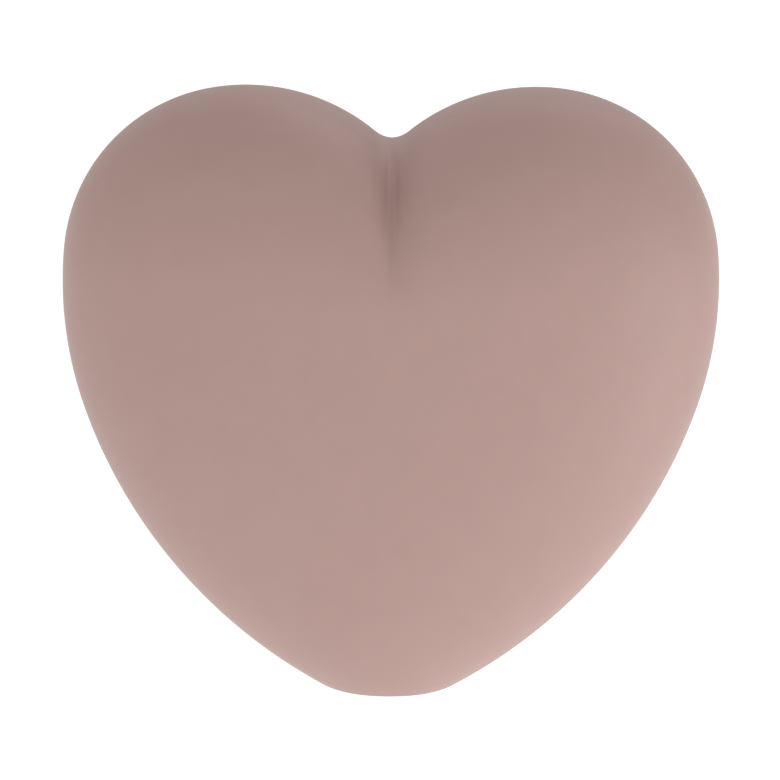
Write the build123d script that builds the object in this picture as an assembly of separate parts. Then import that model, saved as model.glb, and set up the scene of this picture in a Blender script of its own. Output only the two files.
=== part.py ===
from build123d import *
import math
import os

# A heart-shaped sky lantern: a paper envelope of two glued panels over a bamboo hoop,
# with crossed wires that carry a waxed fuel cell in the mouth.
# Origin: middle of the mouth, on the plane that the lantern stands on. +Z is up,
# the front of the heart faces -Y, and the glued seam lies in the plane Y = 0.

# ---- driving dimensions, millimetres ----
lantern_width = 1000.0      # across the two lobes
lantern_depth = 480.0       # front to rear, filled with hot air
mouth_half_width = 110.0    # middle of the mouth to the paper's edge at a seam
paper_thickness = 1.0       # solid stand-in for tissue of about 0.04 mm

# the heart's outline, drawn with compass arcs for a pattern PATTERN_WIDTH wide:
# (radius, degrees turned), from the bottom tip round to the top of one lobe
PATTERN_WIDTH = 1000.89
PATTERN_ARCS = ((138.0, 26.2), (808.0, 44.5), (599.0, 24.2), (270.0, 75.4))
PATTERN_SHOULDER = 305.0    # from the top of the lobe towards the notch
PATTERN_NOTCH = 39.0        # rounding at the bottom of the notch
# how full the envelope is: 2 is an ellipse, more is squarer
FULLNESS_ACROSS = 2.4
FULLNESS_ABOVE = 2.3
FULLNESS_BELOW = 2.5
END_FLAT = 0.3              # width left off each side, where a slice would shrink to a point
SLICE_STEPS = 8             # spans in each quarter of a slice's curve

seam_strip_width = 16.0     # front to rear
seam_strip_thickness = 0.9
seam_gap = 0.8              # glue line between a strip and the panels
SEAM_OVERCUT = 5.0          # how far a panel's hollow is cut past the seam
notch_patch_length = 60.0
strip_end_height = 11.0     # seam strips stop this far above the standing plane
strip_start = 6.0           # and this far from the middle of the notch

hem_paper = 0.8
hem_outer_leg = 5.0         # height
hem_inner_leg = 8.0         # height
hem_window = 5.0            # opening in the hem where a wire or a lashing goes round the hoop
hem_rim = 0.85              # foot left outside each window
rim_gap = 0.05              # between that rim and the wire round the hoop
edge_gap = 0.2              # the foot's outer edge stands back from the panels' faces

hoop_thickness = 2.0
hoop_height = 6.0
standing_gap = 0.1          # between the standing plane and the wire under the hoop
hoop_gap = 0.2              # between the hoop and the hem's legs
scarf_length = 16.0         # slanted joint between the hoop's two ends
scarf_gap = 0.3
scarf_angle = 225.0         # place of the joint round the hoop, degrees from +X
lashing_spread = 13.0       # each lashing's distance from the middle of the joint
thread_diameter = 0.6
thread_turns = 5

wire_diameter = 1.0
wire_gap = 0.1              # between touching wires, and between a wire and the hoop
wire_turns = 2
turn_corner = 0.7           # bend radius of a turn round the hoop, as a share of its diameter
binding_diameter = 0.5
binding_turns = 3
binding_room = 0.9          # between the crossed wires and the binding's sides

hairpin_half_width = 2.6    # middle of the mouth to a leg's centre
hairpin_bend = 1.2
tail_length = 26.0
tail_gap = 0.15             # between a fixed leg and the tail that bends over it

cell_side = 62.0
cell_thickness = 12.0
cell_corner = 4.0
cell_hole = 9.0
cell_clearance = 0.3        # tie thread above the upper wire
tie_diameter = 0.8
tie_offset = 16.0           # each loop of thread from the middle of the cell
CUT_MARGIN = 2.0            # how far a cutting box reaches past what it cuts

# ---- values worked out from those ----
scale = lantern_width / PATTERN_WIDTH
hoop_lift = standing_gap + wire_diameter + wire_gap
hoop_inset = edge_gap + hem_rim + rim_gap + wire_diameter + wire_gap
lower_wire_height = hoop_lift + hoop_height / 2
upper_wire_height = lower_wire_height + wire_diameter + wire_gap
wires_height = upper_wire_height - lower_wire_height + wire_diameter
binding_half_height = (wires_height + binding_diameter) / 2 + wire_gap
binding_middle = (upper_wire_height + lower_wire_height) / 2
hairpin_bottom = binding_middle - binding_half_height - (binding_diameter + wire_diameter) / 2 - wire_gap
tie_bottom = upper_wire_height + wire_diameter / 2 + cell_clearance
cell_bottom = tie_bottom + tie_diameter + wire_gap
cell_top = cell_bottom + cell_thickness
pivot_height = cell_top + wire_diameter
DIAGONAL = Vector(1, 1, 0).normalized()


# ---- the envelope's shape ----
def outline_arcs(inset):
    """Circles of half the outline, moved in by inset: (centre x, centre z, radius, x at its end)."""
    arcs = []
    x, z, heading = 0.0, inset, 0.0
    for radius, turn in PATTERN_ARCS:
        r = radius * scale - inset
        cx, cz = x - r * math.sin(heading), z + r * math.cos(heading)
        heading += math.radians(turn)
        x, z = cx + r * math.sin(heading), cz - r * math.cos(heading)
        arcs.append((cx, cz, r, x))
    r = PATTERN_SHOULDER * scale - inset
    notch = PATTERN_NOTCH * scale + inset
    cx, cz = x - r * math.sin(heading), z + r * math.cos(heading)
    arcs.append((cx, cz, r, cx * notch / (r + notch)))
    arcs.append((0.0, cz + math.sqrt((r + notch) ** 2 - cx**2), notch, 0.0))
    return arcs


WIDEST = outline_arcs(0)[2][1]


def raw_heights(x, inset):
    """Bottom and top of the outline at x, measured from the pattern's tip."""
    tip, flank, side, lobe, shoulder, notch = outline_arcs(inset)
    x = abs(x)
    low = tip if x < tip[3] else flank if x < flank[3] else side
    bottom = low[1] - math.sqrt(max(low[2] ** 2 - (x - low[0]) ** 2, 0))
    if x < shoulder[3]:
        return bottom, notch[1] - math.sqrt(notch[2] ** 2 - x**2)
    high = shoulder if x < lobe[3] else lobe if x < side[3] else side
    return bottom, high[1] + math.sqrt(max(high[2] ** 2 - (x - high[0]) ** 2, 0))


MOUTH_CUT = raw_heights(mouth_half_width, 0)[0]
MIDDLE = WIDEST - MOUTH_CUT


def heights(x, inset):
    bottom, top = raw_heights(x, inset)
    return bottom - MOUTH_CUT, top - MOUTH_CUT


def half_depth(x, inset):
    half_width = lantern_width / 2 - inset
    share = max(1 - (abs(x) / half_width) ** FULLNESS_ACROSS, 0) ** (1 / FULLNESS_ACROSS)
    return (lantern_depth / 2 - inset) * share


def slice_curve(x, inset, above):
    """Quarter of the slice at x: from the bottom seam to the widest height, or from there up."""
    bottom, top = heights(x, inset)
    reach, fullness = (top - MIDDLE, FULLNESS_ABOVE) if above else (bottom - MIDDLE, FULLNESS_BELOW)
    deep = half_depth(x, inset)
    shares = [i / SLICE_STEPS for i in range(SLICE_STEPS + 1)]
    points = []
    for share in shares:
        a = math.pi / 2 * (share if above else 1 - share)
        spread = (math.cos(a) ** fullness + math.sin(a) ** fullness) ** (1 / fullness)
        points.append((x, -deep * math.cos(a) / spread, MIDDLE + reach * math.sin(a) / spread))
    seam, widest = (x, 0, MIDDLE + reach), (x, -deep, MIDDLE)
    points[0], points[-1] = (widest, seam) if above else (seam, widest)
    inwards, upwards = (0, deep * math.pi / 2, 0), (0, 0, abs(reach) * math.pi / 2)
    tangents = (upwards, inwards) if above else ((0, -inwards[1], 0), upwards)
    return Edge.make_spline(points, tangents=tangents, parameters=shares, scale=False)


def slice_places(inset):
    """Places of the slices: even steps along each arc of the outline's upper side."""
    tip, flank, side, lobe, shoulder, notch = outline_arcs(inset)
    half = [shoulder[3] * k / 3 for k in range(4)]
    for arc, end, count in ((shoulder, lobe[3], 5), (lobe, side[3], 9)):
        first = math.acos((half[-1] - arc[0]) / arc[2])
        last = math.acos((end - arc[0]) / arc[2])
        half += [arc[0] + arc[2] * math.cos(first + (last - first) * k / count) for k in range(1, count + 1)]
    half.append(lantern_width / 2 - inset - END_FLAT)
    return [-x for x in reversed(half[1:])] + half


def half_envelope(inset, past_seam=0.0):
    """Solid inside the front half of the paper's face, moved in by inset, down to the tip."""
    slices = []
    for x in slice_places(inset):
        bottom, top = heights(x, inset)
        rear = [(x, 0, top), (x, 0, bottom)]
        if past_seam:
            rear = [(x, 0, top), (x, past_seam, top), (x, past_seam, bottom), (x, 0, bottom)]
        front = [slice_curve(x, inset, above) for above in (False, True)]
        slices.append(Wire(front + [Edge.make_line(p, q) for p, q in zip(rear, rear[1:])]))
    return Solid.make_loft(slices)


def panels():
    """The front sheet of paper, open at the mouth, and its mirror image behind the seam."""
    paper = half_envelope(0) - half_envelope(paper_thickness, past_seam=SEAM_OVERCUT)
    reach = 2 * lantern_width
    below = Pos(0, 0, hem_paper + edge_gap / 2) * Box(
        reach, reach, reach, align=(Align.CENTER, Align.CENTER, Align.MAX))
    front = paper - below
    return front, mirror(front, about=Plane.XZ)


# ---- strips glued inside the seam ----
def outline_edges(inset):
    """The whole outline as tangent arcs in the plane Y = 0."""
    half = []
    start = (0.0, inset - MOUTH_CUT)
    arcs = outline_arcs(inset)
    ends = [arc[3] for arc in arcs]
    for i, (cx, cz, r, end_x) in enumerate(arcs):
        cz -= MOUTH_CUT
        falling = i in (0, 1) or (i == 2 and end_x < 0)
        bulge = -1 if falling or i == 5 else 1
        end = (end_x, cz + bulge * math.sqrt(max(r**2 - (end_x - cx) ** 2, 0)))
        a0 = math.atan2(start[1] - cz, start[0] - cx)
        a1 = math.atan2(end[1] - cz, end[0] - cx)
        middle = (cx + r * math.cos((a0 + a1) / 2), cz + r * math.sin((a0 + a1) / 2))
        half.append((start, middle, end))
        start = end
    edges = []
    for side in (1, -1):
        for points in half:
            edges.append(Edge.make_three_point_arc(*[(side * x, 0, z) for x, z in points]))
    return edges


def seam_band(inset, thickness):
    """A ribbon that follows the whole seam, thickness thick and inset from the panels' face."""
    across = Vector(0, seam_strip_width, 0)
    outer = Solid.extrude(Face(Wire(outline_edges(inset))), across)
    inner = Solid.extrude(Face(Wire(outline_edges(inset + thickness))), across)
    return Pos(0, -seam_strip_width / 2, 0) * (outer - inner)


def seam_pieces():
    reach = lantern_width
    first = paper_thickness + seam_gap
    band = seam_band(first, seam_strip_thickness)
    side_box = Box(reach, reach, reach, align=(Align.MIN, Align.CENTER, Align.MIN))
    right = band & (Pos(strip_start, 0, strip_end_height) * side_box)
    left = mirror(right, about=Plane.YZ)
    patch_band = seam_band(first + seam_strip_thickness + edge_gap, seam_strip_thickness)
    patch = patch_band & (Pos(0, 0, MIDDLE) * Box(
        notch_patch_length, reach, reach, align=(Align.CENTER, Align.CENTER, Align.MIN)))
    return left, right, patch


# ---- mouth: hem, hoop and lashings ----
def mouth_point(angle, inset, height=0.0):
    """Point on the paper's edge in the mouth plane, moved in by inset towards the middle."""
    x = mouth_half_width * math.cos(angle)
    drop = MIDDLE / (MIDDLE - heights(x, 0)[0])
    y = half_depth(x, 0) * max(1 - drop**FULLNESS_BELOW, 0) ** (1 / FULLNESS_BELOW)
    y = math.copysign(y, math.sin(angle))
    keep = 1 - inset / math.hypot(x, y)
    return Vector(x * keep, y * keep, height)


def mouth_face(inset, steps=24):
    points = [mouth_point(2 * math.pi * k / steps, inset) for k in range(steps)]
    return Face(Wire([Edge.make_spline(points, periodic=True)]))


def mouth_ring(inset, width, bottom, height):
    up = Vector(0, 0, height)
    outer = Solid.extrude(mouth_face(inset), up)
    inner = Solid.extrude(mouth_face(inset + width), up)
    return Pos(0, 0, bottom) * (outer - inner)


def outwards(angle, step=0.01):
    """Level direction square to the rim at a place round the mouth."""
    along = mouth_point(angle + step, 0) - mouth_point(angle - step, 0)
    return along.cross(Vector(0, 0, 1)).normalized()


def place_on_mouth(angle, inset, height):
    """Plane at a place round the mouth: x out of the mouth, y along the rim, z up."""
    return Plane(origin=mouth_point(angle, inset, height), x_dir=outwards(angle), z_dir=(0, 0, 1))


WIRE_PLACES = [math.radians(a) for a in (0, 90, 180, 270)]


def lashing_places():
    turn = lashing_spread / mouth_half_width
    return [math.radians(scarf_angle) - turn, math.radians(scarf_angle) + turn]


def mouth_hem():
    outer_leg = hoop_inset - hoop_gap - hem_paper
    inner_leg = hoop_inset + hoop_thickness + hoop_gap
    hem = mouth_ring(edge_gap, inner_leg + hem_paper - edge_gap, 0, hem_paper)
    hem += mouth_ring(outer_leg, hem_paper, 0, hem_outer_leg)
    hem += mouth_ring(inner_leg, hem_paper, 0, hem_inner_leg)
    deep = inner_leg + hem_paper - edge_gap - hem_rim + CUT_MARGIN
    for angle in WIRE_PLACES + lashing_places():
        plane = place_on_mouth(angle, edge_gap + hem_rim + deep / 2, hem_inner_leg / 2)
        hem -= plane * Box(deep, hem_window, hem_inner_leg + 2 * CUT_MARGIN)
    return hem


def hoop_middle(angle):
    return place_on_mouth(angle, hoop_inset + hoop_thickness / 2, hoop_lift + hoop_height / 2)


def bamboo_hoop():
    hoop = mouth_ring(hoop_inset, hoop_thickness, hoop_lift, hoop_height)
    plane = hoop_middle(math.radians(scarf_angle))
    slant = math.degrees(math.atan(hoop_thickness / scarf_length))
    cut = Box(scarf_gap, scarf_length + 3 * CUT_MARGIN, hoop_height + CUT_MARGIN)
    return hoop - plane * Rot(0, 0, slant) * cut


def wire_ring(plane, width, height, diameter, corner):
    """A closed turn of wire: a rounded rectangle, width by height between its centre lines."""
    path = (plane * RectangleRounded(width, height, corner)).face().outer_wire()
    start = Plane(origin=path @ 0, z_dir=path % 0)
    return (sweep(start * Circle(diameter / 2), path=path)).solid()


def turns_round_hoop(angle, diameter, turns):
    """Turns of wire or thread, side by side round the hoop's section."""
    width = hoop_thickness + 2 * wire_gap + diameter
    height = hoop_height + 2 * wire_gap + diameter
    middle = hoop_middle(angle)
    rings = []
    for k in range(turns):
        along = (k - (turns - 1) / 2) * (diameter + wire_gap)
        section = Plane(origin=middle.origin + middle.y_dir * along, x_dir=middle.x_dir, z_dir=middle.y_dir)
        rings.append(wire_ring(section, width, height, diameter, turn_corner * diameter))
    return rings


def hoop_lashings():
    groups = [turns_round_hoop(angle, thread_diameter, thread_turns) for angle in lashing_places()]
    return groups[0] + groups[1]


# ---- wires ----
def cross_wire(first, second, height):
    """A wire from one side of the hoop to the other, with both ends wound round the hoop."""
    inner = hoop_inset + hoop_thickness + wire_gap + wire_diameter / 2
    a, b = mouth_point(first, inner, height), mouth_point(second, inner, height)
    wire = Solid.make_cylinder(wire_diameter / 2, (b - a).length, Plane(origin=a, z_dir=b - a))
    for angle in (first, second):
        wire = wire + turns_round_hoop(angle, wire_diameter, wire_turns)
        centre = mouth_point(angle, inner, height)
        along = outwards(angle).cross(Vector(0, 0, 1))
        span = wire_turns * (wire_diameter + wire_gap) - wire_gap - wire_diameter
        wire = wire + Solid.make_cylinder(
            wire_diameter / 2, span, Plane(origin=centre - along * span / 2, z_dir=along))
    return wire


def centre_binding():
    rings = []
    for k in range(binding_turns):
        along = DIAGONAL * ((k - (binding_turns - 1) / 2) * (binding_diameter + wire_gap))
        plane = Plane(origin=Vector(0, 0, binding_middle) + along, x_dir=(1, -1, 0), z_dir=(1, 1, 0))
        width = 2 * (wire_diameter / 2 * math.sqrt(2) + binding_room + binding_diameter / 2)
        rings.append(wire_ring(plane, width, 2 * binding_half_height, binding_diameter, binding_diameter))
    return rings


def cell_hairpin():
    """The wire that holds the fuel cell: up through the cell on both sides of the crossing."""
    top = pivot_height - wire_diameter / 2 - tail_gap
    bottom = hairpin_bottom
    w, b = hairpin_half_width, hairpin_bend
    plane = Plane(origin=(0, 0, 0), x_dir=DIAGONAL, z_dir=DIAGONAL.cross(Vector(0, 0, 1)))
    points = [(-w, top), (-w, bottom), (w, bottom), (w, top)]
    path = plane * FilletPolyline(*points, radius=b)
    start = Plane(origin=path @ 0, z_dir=path % 0)
    return sweep(start * Circle(wire_diameter / 2), path=path).solid()


def tail(side):
    foot = DIAGONAL * (side * hairpin_half_width) + Vector(0, 0, pivot_height)
    r = wire_diameter / 2
    rod = Solid.make_cylinder(r, tail_length, Plane(origin=foot))
    return rod + Pos(foot) * Sphere(r) + Pos(foot + Vector(0, 0, tail_length)) * Sphere(r)


# ---- fuel cell ----
def fuel_pad():
    plan = RectangleRounded(cell_side, cell_side, cell_corner) - Circle(cell_hole / 2)
    return Pos(0, 0, cell_bottom) * extrude(plan, amount=cell_thickness)


def cotton_tie():
    width = cell_side + 2 * wire_gap + tie_diameter
    height = cell_thickness + 2 * wire_gap + tie_diameter
    middle = (cell_bottom + cell_top) / 2
    loops = []
    for y in (-tie_offset, tie_offset):
        plane = Plane(origin=(0, y, middle), x_dir=(1, 0, 0), z_dir=(0, 1, 0))
        loops.append(wire_ring(plane, width, height, tie_diameter, tie_diameter))
    return loops


def save(name, shape):
    if isinstance(shape, list):
        shape = Compound(children=shape)
    export_step(shape, f"parts/{name}.step")


os.makedirs("parts", exist_ok=True)
front_panel, rear_panel = panels()
left_strip, right_strip, notch_patch = seam_pieces()
save("front_panel", front_panel)
save("rear_panel", rear_panel)
save("left_seam_strip", left_strip)
save("right_seam_strip", right_strip)
save("notch_patch", notch_patch)
save("mouth_hem", mouth_hem())
save("bamboo_hoop", bamboo_hoop())
save("hoop_lashings", hoop_lashings())
save("left_right_wire", cross_wire(WIRE_PLACES[2], WIRE_PLACES[0], lower_wire_height))
save("front_rear_wire", cross_wire(WIRE_PLACES[3], WIRE_PLACES[1], upper_wire_height))
save("centre_binding", centre_binding())
save("cell_hairpin", cell_hairpin())
save("left_tail", tail(-1))
save("right_tail", tail(1))
save("fuel_pad", fuel_pad())
save("cotton_tie", cotton_tie())
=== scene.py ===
import bpy
import bmesh
import math
import numpy as np
from mathutils import Matrix, Vector


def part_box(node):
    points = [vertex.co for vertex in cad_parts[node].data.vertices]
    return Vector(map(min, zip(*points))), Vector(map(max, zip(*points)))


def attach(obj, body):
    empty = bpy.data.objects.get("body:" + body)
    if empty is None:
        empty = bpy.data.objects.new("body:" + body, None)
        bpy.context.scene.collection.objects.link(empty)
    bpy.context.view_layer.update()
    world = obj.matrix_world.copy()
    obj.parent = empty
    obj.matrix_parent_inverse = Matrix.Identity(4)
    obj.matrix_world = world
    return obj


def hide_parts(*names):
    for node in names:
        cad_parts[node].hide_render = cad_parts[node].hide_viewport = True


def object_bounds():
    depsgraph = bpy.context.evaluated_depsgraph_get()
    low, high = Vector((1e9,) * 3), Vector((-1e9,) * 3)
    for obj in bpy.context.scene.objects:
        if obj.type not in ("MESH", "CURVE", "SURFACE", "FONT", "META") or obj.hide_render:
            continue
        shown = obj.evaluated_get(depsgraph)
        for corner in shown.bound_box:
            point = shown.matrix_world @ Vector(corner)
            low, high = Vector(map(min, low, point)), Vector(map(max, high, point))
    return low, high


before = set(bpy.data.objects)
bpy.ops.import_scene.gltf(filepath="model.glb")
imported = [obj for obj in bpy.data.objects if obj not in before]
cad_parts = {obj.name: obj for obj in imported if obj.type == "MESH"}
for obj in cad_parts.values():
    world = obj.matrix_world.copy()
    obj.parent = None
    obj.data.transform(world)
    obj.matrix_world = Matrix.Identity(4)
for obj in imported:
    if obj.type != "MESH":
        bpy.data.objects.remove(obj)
cad_low, cad_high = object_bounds()
MM = 0.001

# ---- Camera ----
# A long lens about eight metres in front of the lantern and a little above it, as for a
# catalogue picture. Its width is what the picture takes in at the lantern.
CAMERA_LENS = 250.0
CAMERA_SENSOR = 36.0
CAMERA_AZIMUTH = 0.0
CAMERA_ELEVATION = 15.0
CAMERA_ROLL = 0.45
CAMERA_WIDTH = 1.196
CAMERA_AIM_LIFT = -0.006
camera_data = bpy.data.cameras.new("catalogue_camera")
camera_data.lens = CAMERA_LENS
camera_data.sensor_width = CAMERA_SENSOR
camera = bpy.data.objects.new("catalogue_camera", camera_data)
bpy.context.scene.collection.objects.link(camera)
aim = (Vector(cad_low) + Vector(cad_high)) / 2 + Vector((0, 0, CAMERA_AIM_LIFT))
camera_distance = CAMERA_WIDTH * CAMERA_LENS / CAMERA_SENSOR
turn = Matrix.Rotation(math.radians(CAMERA_AZIMUTH), 4, "Z")
tilt = Matrix.Rotation(math.radians(90 - CAMERA_ELEVATION), 4, "X")
roll = Matrix.Rotation(math.radians(CAMERA_ROLL), 4, "Z")
back_off = Matrix.Translation((0, 0, camera_distance))
camera.matrix_world = Matrix.Translation(aim) @ turn @ tilt @ roll @ back_off
bpy.context.scene.camera = camera

# ---- Envelope: front and rear panels ----
# Two heart-shaped sheets of coloured tissue paper, glued together round their edges and
# blown full by hot air, so the skin is taut and smooth. Under the notch the seam draws the
# paper in, which leaves a short crease.
LANTERN_WIDTH = 1000.0 * MM
LANTERN_DEPTH = 480.0 * MM
MOUTH_HALF_WIDTH = 110.0 * MM
PAPER_THICKNESS = 1.0 * MM
# Half the outline is drawn with compass arcs: tip, flank, side and lobe as radius in
# millimetres and degrees turned, then the radii of the shoulder and of the notch's rounding.
PATTERN_WIDTH = 1000.89
PATTERN_ARCS = ((138.0, 26.2), (808.0, 44.5), (599.0, 24.2), (270.0, 75.4))
PATTERN_SHOULDER = 305.0
PATTERN_NOTCH = 39.0
# A higher fullness gives a section that is squarer than an ellipse, whose fullness is 2.
FULLNESS_ACROSS = 2.4
FULLNESS_ABOVE = 2.3
FULLNESS_BELOW = 2.5
PANEL_STEPS = 150
# The crease takes these shares off the depth of the two panels. It grows with height from
# CREASE_START, over CREASE_REACH, and fades to both sides over CREASE_WIDTH.
CREASE_FRONT = 0.42
CREASE_REAR = 0.08
CREASE_WIDTH = 15.0 * MM
CREASE_BOTTOM = 1.5 * MM
CREASE_START = 600.0 * MM
CREASE_REACH = 245.0 * MM
CREASE_SPREAD = 3.0
TISSUE_PALE = "#B6948D"
TISSUE_DEEP = "#B08F88"
TISSUE_FLECK = "#C3A8A0"
TINY = 1e-12
pattern_scale = LANTERN_WIDTH / PATTERN_WIDTH


def outline_arcs(inset):
    """Circles of half the outline moved in by inset: centre x, centre z, radius, x at its end."""
    arcs = []
    x, z, heading = 0.0, inset, 0.0
    for radius, degrees in PATTERN_ARCS:
        r = radius * pattern_scale - inset
        cx, cz = x - r * math.sin(heading), z + r * math.cos(heading)
        heading += math.radians(degrees)
        x, z = cx + r * math.sin(heading), cz - r * math.cos(heading)
        arcs.append((cx, cz, r, x))
    r, notch = PATTERN_SHOULDER * pattern_scale - inset, PATTERN_NOTCH * pattern_scale + inset
    cx, cz = x - r * math.sin(heading), z + r * math.cos(heading)
    arcs.append((cx, cz, r, cx * notch / (r + notch)))
    arcs.append((0.0, cz + math.sqrt((r + notch) ** 2 - cx**2), notch, 0.0))
    return arcs


def arc_height(arc, x, side):
    """Height of a circle's upper (1) or lower (-1) half at x."""
    return arc[1] + side * np.sqrt(np.maximum(arc[2] ** 2 - (x - arc[0]) ** 2, 0))


def outline(x, inset):
    """Bottom and top of the outline at x, above the pattern's tip."""
    tip, flank, side, lobe, shoulder, notch = outline_arcs(inset)
    x = np.abs(x)
    bottom = np.where(x < tip[3], arc_height(tip, x, -1), arc_height(flank, x, -1))
    bottom = np.where(x < flank[3], bottom, arc_height(side, x, -1))
    top = np.where(x < side[3], arc_height(lobe, x, 1), arc_height(side, x, 1))
    top = np.where(x < lobe[3], arc_height(shoulder, x, 1), top)
    return bottom, np.where(x < shoulder[3], arc_height(notch, x, -1), top)


mouth_cut = float(outline(MOUTH_HALF_WIDTH, 0.0)[0])
middle = outline_arcs(0.0)[2][1] - mouth_cut


def slice_sizes(x, above, inset):
    """At x: how far the slice reaches up or down from the middle, half its depth, its fullness."""
    bottom, top = outline(x, inset)
    reach = np.where(above, top - mouth_cut - middle, middle - bottom + mouth_cut)
    share = np.maximum(1 - (np.abs(x) / (LANTERN_WIDTH / 2 - inset)) ** FULLNESS_ACROSS, 0)
    deep = (LANTERN_DEPTH / 2 - inset) * share ** (1 / FULLNESS_ACROSS)
    return reach, deep, np.where(above, FULLNESS_ABOVE, FULLNESS_BELOW)


def crease_keep(x, z, rear):
    """Share of its depth that the skin keeps under the notch, where the paper is drawn in."""
    rise = np.clip((z - CREASE_START) / CREASE_REACH, 0, 1) ** CREASE_SPREAD
    away = np.sqrt(x**2 + CREASE_BOTTOM**2) - CREASE_BOTTOM
    return 1 - np.where(rear, CREASE_REAR, CREASE_FRONT) * rise * np.exp(-away / CREASE_WIDTH)


def skin_points(inset, steps, facing):
    """A square net of points laid over one half, closer together towards the seam."""
    u, v = np.meshgrid(np.linspace(-1, 1, steps + 1), np.linspace(-1, 1, steps + 1))
    u, v = u * np.sqrt(1 - v**2 / 2), v * np.sqrt(1 - u**2 / 2)
    radius = np.maximum(np.hypot(u, v), TINY)
    spread = np.sin(np.minimum(radius, 1) * np.pi / 2) / radius
    u, v = np.clip(u * spread, -1, 1), v * spread
    across = np.sqrt(np.maximum(1 - u**2, TINY))
    share = np.clip(v / across, -1, 1)
    x = u * (LANTERN_WIDTH / 2 - inset)
    reach, deep, fullness = slice_sizes(x, share >= 0, inset)
    z = middle + reach * share
    bulge = np.maximum(1 - np.abs(share) ** fullness, 0) ** (1 / fullness)
    y = -facing * deep * crease_keep(x, z, facing < 0) * bulge
    return np.stack([x, y, z], axis=-1)


def skin_normals(points, inset):
    """Outward directions of the skin at points on it, or close to it. At its widest point,
    where a slice shrinks to nothing, that is straight out to the side."""
    step = 0.02 * MM
    x, y, z = points.T
    above = z >= middle
    limit = LANTERN_WIDTH / 2 - inset - 2 * step
    x = np.clip(x, -limit, limit)

    def level(px, py, pz):
        reach, deep, fullness = slice_sizes(px, above, inset)
        deep = deep * crease_keep(px, pz, py > 0)
        near = np.abs(py) / np.maximum(deep, step)
        far = np.abs(pz - middle) / np.maximum(reach, step)
        return near**fullness + far**fullness

    slope = np.stack([
        level(x + step, y, z) - level(x - step, y, z),
        level(x, y + step, z) - level(x, y - step, z),
        level(x, y, z + step) - level(x, y, z - step),
    ], axis=1)
    normals = slope / np.maximum(np.linalg.norm(slope, axis=1, keepdims=True), TINY)
    widest = np.abs(points[:, 0]) > limit
    normals[widest] = np.sign(points[widest, :1]) * np.array((1.0, 0.0, 0.0))
    return normals


def set_skin_normals(data):
    """Shade both faces of the paper by the skin's own direction, and its cut edges flat."""
    count = len(data.polygons)
    face_normals, centres = np.empty(count * 3), np.empty(count * 3)
    data.polygons.foreach_get("normal", face_normals)
    data.polygons.foreach_get("center", centres)
    face_normals, centres = face_normals.reshape(-1, 3), centres.reshape(-1, 3)
    facing = np.sum(face_normals * skin_normals(centres, 0.0), axis=1)
    sizes, corners = np.empty(count, dtype=int), np.empty(len(data.loops), dtype=int)
    data.polygons.foreach_get("loop_total", sizes)
    data.loops.foreach_get("vertex_index", corners)
    spots = np.empty(len(data.vertices) * 3)
    data.vertices.foreach_get("co", spots)
    spots = spots.reshape(-1, 3)[corners]
    facing, normals = np.repeat(facing, sizes), np.repeat(face_normals, sizes, axis=0)
    nearly_square = 0.5
    outside, inside = facing > nearly_square, facing < -nearly_square
    normals[outside] = skin_normals(spots[outside], 0.0)
    normals[inside] = -skin_normals(spots[inside], PAPER_THICKNESS)
    data.shade_smooth()
    data.normals_split_custom_set(normals)


def panel_mesh(name, facing):
    """One sheet of paper, PAPER_THICKNESS thick, cut off level at the mouth."""
    mesh = bmesh.new()
    layers = []
    for inset in (0.0, PAPER_THICKNESS):
        points = skin_points(inset, PANEL_STEPS, facing)
        layers.append([[mesh.verts.new(p) for p in row] for row in points])
    outer, inner = layers
    n = PANEL_STEPS
    for i in range(n):
        for j in range(n):
            for net, flip in ((outer, facing < 0), (inner, facing > 0)):
                corners = [net[i][j], net[i][j + 1], net[i + 1][j + 1], net[i + 1][j]]
                mesh.faces.new(corners[::-1] if flip else corners)
    edge = [(0, j) for j in range(n)] + [(i, n) for i in range(n)]
    edge += [(n, n - j) for j in range(n)] + [(n - i, 0) for i in range(n)]
    for (i, j), (k, m) in zip(edge, edge[1:] + edge[:1]):
        mesh.faces.new([outer[i][j], outer[k][m], inner[k][m], inner[i][j]])
    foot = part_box("front_panel")[0][2]
    everything = mesh.verts[:] + mesh.edges[:] + mesh.faces[:]
    bmesh.ops.bisect_plane(
        mesh, geom=everything, plane_co=(0, 0, foot), plane_no=(0, 0, 1), clear_inner=True)
    open_edges = [e for e in mesh.edges if e.is_boundary]
    bmesh.ops.triangle_fill(mesh, edges=open_edges, use_beauty=True)
    bmesh.ops.recalc_face_normals(mesh, faces=mesh.faces[:])
    data = bpy.data.meshes.new(name)
    mesh.to_mesh(data)
    mesh.free()
    set_skin_normals(data)
    return data


def add_object(name, data):
    piece = bpy.data.objects.new(name, data)
    bpy.context.scene.collection.objects.link(piece)
    return piece


def linear(hex_colour):
    """sRGB hex to the linear colour that the shader takes."""
    values = [int(hex_colour[i:i + 2], 16) / 255 for i in (1, 3, 5)]
    return tuple(v / 12.92 if v <= 0.04045 else ((v + 0.055) / 1.055) ** 2.4 for v in values) + (1.0,)


def new_material(name):
    material = bpy.data.materials.new(name)
    material.use_nodes = True
    shader = material.node_tree.nodes["Principled BSDF"]
    return material, shader


def add_node(material, kind, settings={}, values={}, links={}, into={}):
    """Adds a node: its properties, socket values, links from others, and links into others."""
    tree = material.node_tree
    node = tree.nodes.new(kind)
    for key, value in settings.items():
        setattr(node, key, value)
    for key, value in values.items():
        node.inputs[key].default_value = value
    for key, source in links.items():
        tree.links.new(source, node.inputs[key])
    for key, target in into.items():
        tree.links.new(node.outputs[key], target)
    return node


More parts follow.
